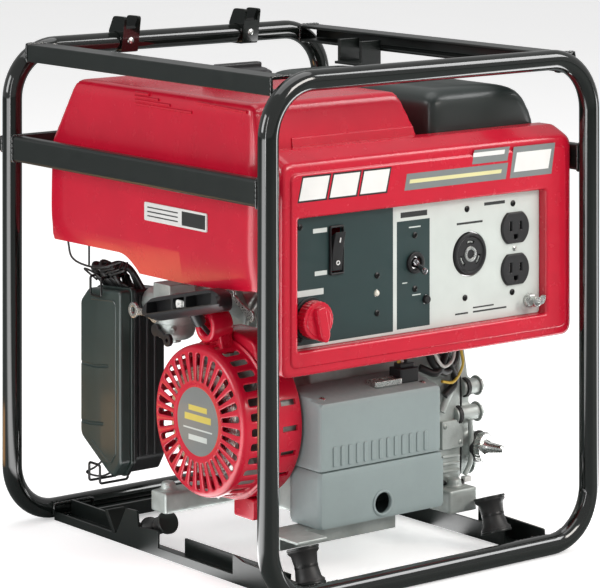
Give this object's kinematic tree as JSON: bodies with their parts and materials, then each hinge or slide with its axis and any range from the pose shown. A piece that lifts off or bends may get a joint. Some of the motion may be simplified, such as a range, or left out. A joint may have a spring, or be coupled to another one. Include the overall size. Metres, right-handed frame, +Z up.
{
  "type": "open-frame portable generator",
  "caption": "Portable petrol generator: tube frame, red fuel tank and control panel, recoil-start engine, frequency-converter box.",
  "frame": {"origin": "centre of the whole object's box in plan, at floor height; the middle of the two loops lies 3.15 mm in front of it", "axes": "+Z up, -Y towards the control panel, -X towards the recoil starter; the crankshaft runs along X"},
  "size_m": [0.4042, 0.4318, 0.489],
  "materials": {
    "black_gloss": "gloss black enamel",
    "black_satin": "satin black-green enamel",
    "red_paint": "gloss red enamel",
    "red_plastic": "moulded gloss red",
    "plate": "satin off-white and grey-green print",
    "black_plastic": "fine moulded texture",
    "lamp_lens": "clear lens",
    "rubber": "matt black rubber",
    "cast_aluminium": "as-cast, lightly painted silver",
    "muffler_steel": "heat-toned aluminised steel",
    "steel": "zinc plated",
    "windings": "varnished copper windings",
    "cleaner_green": "moulded dark green-grey",
    "foam": "oiled open-cell foam",
    "converter_grey": "fine-textured blue-grey"
  },
  "bodies": {
    "frame": {"front_loop": "black_gloss", "rear_loop": "black_gloss", "left_top_bar": "black_satin", "right_top_bar": "black_satin", "left_mid_bar": "black_satin", "right_mid_bar": "black_satin", "rear_crossbar": "black_satin", "left_rail": "black_satin", "right_rail": "black_satin", "rear_base_plate": "black_satin", "left_stacking_lug": "black_gloss", "right_stacking_lug": "black_gloss", "mount_front_left": "rubber", "mount_front_right": "rubber", "mount_rear_left": "rubber", "mount_rear_right": "rubber", "panel_box": "red_paint", "face_plate": "plate", "indicator_lamp": "lamp_lens", "twist_lock_outlet": "black_plastic", "upper_outlet": "black_plastic", "lower_outlet": "black_plastic", "ground_stud": "steel", "fuel_tank": "red_plastic", "fuel_strainer": "steel", "muffler_cover": "black_gloss", "muffler": "muffler_steel", "muffler_stay": "black_satin", "crankcase": "cast_aluminium", "side_cover": "cast_aluminium", "cylinder_head": "cast_aluminium", "stator": "windings", "fan_housing": "red_paint", "recoil_cover": "red_paint", "spark_plug": "steel", "plug_cap": "rubber", "carburettor": "cast_aluminium", "cleaner_case": "black_plastic", "cleaner_cover": "cleaner_green", "filter_element": "foam", "converter_base": "converter_grey", "converter_cover": "converter_grey", "converter_bar": "cast_aluminium", "fuel_hose": "rubber"},
    "crank": {"crankshaft": "steel", "flywheel": "cast_aluminium"},
    "recoil_reel": {"recoil_reel": "steel"},
    "starter_handle": {"starter_handle": "black_plastic"},
    "fuel_cap": {"fuel_cap": "black_plastic"},
    "rocker_switch": {"rocker_switch": "black_plastic"},
    "engine_knob": {"engine_knob": "red_plastic"},
    "breaker_toggle": {"breaker_toggle": "steel"},
    "reset_button": {"reset_button": "black_plastic"},
    "ground_wing_nut": {"ground_wing_nut": "steel"},
    "oil_filler_cap": {"oil_filler_cap": "steel"},
    "choke_lever": {"choke_lever": "steel"},
    "fuel_valve_lever": {"fuel_valve_lever": "black_plastic"},
    "governor_arm": {"governor_arm": "steel"},
    "upper_clip": {"upper_clip": "steel"},
    "lower_clip": {"lower_clip": "steel"}
  },
  "joints": [
    {"name": "crank_spin", "type": "hinge", "parent": "frame", "child": "crank", "pos_m": [0, -0.06515, 0.142], "axis": [1, 0, 0], "continuous": true},
    {"name": "starter_pull", "type": "slide", "parent": "frame", "child": "starter_handle", "axis": [-0.7071, 0, 0.7071], "range_m": [0, 0.5]},
    {"name": "recoil_reel_turn", "type": "hinge", "parent": "frame", "child": "recoil_reel", "pos_m": [0, -0.06515, 0.142], "axis": [1, 0, 0], "range_deg": [0, 690]},
    {"name": "fuel_cap_turn", "type": "hinge", "parent": "frame", "child": "fuel_cap", "pos_m": [-0.064, 0.00685, 0.44], "axis": [0, 0, 1], "range_deg": [0, 90]},
    {"name": "rocker_switch_tilt", "type": "hinge", "parent": "frame", "child": "rocker_switch", "pos_m": [-0.098, -0.18315, 0.307], "axis": [1, 0, 0], "range_deg": [-18, 0]},
    {"name": "engine_knob_turn", "type": "hinge", "parent": "frame", "child": "engine_knob", "pos_m": [-0.128, -0.18315, 0.249], "axis": [0, 1, 0], "range_deg": [0, 90]},
    {"name": "breaker_toggle_flip", "type": "hinge", "parent": "frame", "child": "breaker_toggle", "pos_m": [-0.005, -0.18315, 0.286], "axis": [1, 0, 0], "range_deg": [-48, 0]},
    {"name": "reset_button_press", "type": "slide", "parent": "frame", "child": "reset_button", "axis": [0, 1, 0], "range_m": [0, 0.002]},
    {"name": "ground_wing_nut_turn", "type": "hinge", "parent": "frame", "child": "ground_wing_nut", "pos_m": [0.136, -0.19315, 0.236], "axis": [0, 1, 0], "range_deg": [0, 720]},
    {"name": "oil_filler_cap_turn", "type": "hinge", "parent": "frame", "child": "oil_filler_cap", "pos_m": [0.129, -0.11715, 0.088], "axis": [0.3192, -0.9477, 0], "range_deg": [0, 720]},
    {"name": "choke_lever_turn", "type": "hinge", "parent": "frame", "child": "choke_lever", "pos_m": [-0.142, 0.03485, 0.222], "axis": [1, 0, 0], "range_deg": [0, 35]},
    {"name": "fuel_valve_lever_turn", "type": "hinge", "parent": "frame", "child": "fuel_valve_lever", "pos_m": [-0.132, 0.04685, 0.205], "axis": [1, 0, 0], "range_deg": [0, 90]},
    {"name": "governor_arm_swing", "type": "hinge", "parent": "frame", "child": "governor_arm", "pos_m": [-0.062, -0.00915, 0.218], "axis": [1, 0, 0], "range_deg": [-20, 0]},
    {"name": "upper_clip_swing", "type": "hinge", "parent": "frame", "child": "upper_clip", "pos_m": [-0.117, 0.11885, 0.242], "axis": [0, 1, 0], "range_deg": [0, 90]},
    {"name": "lower_clip_swing", "type": "hinge", "parent": "frame", "child": "lower_clip", "pos_m": [-0.117, 0.12085, 0.056], "axis": [0, 1, 0], "range_deg": [-90, 0]}
  ],
  "couplings": [
    {"joint": "recoil_reel_turn", "follows": "starter_pull", "rad_per_m": 23.8}
  ]
}
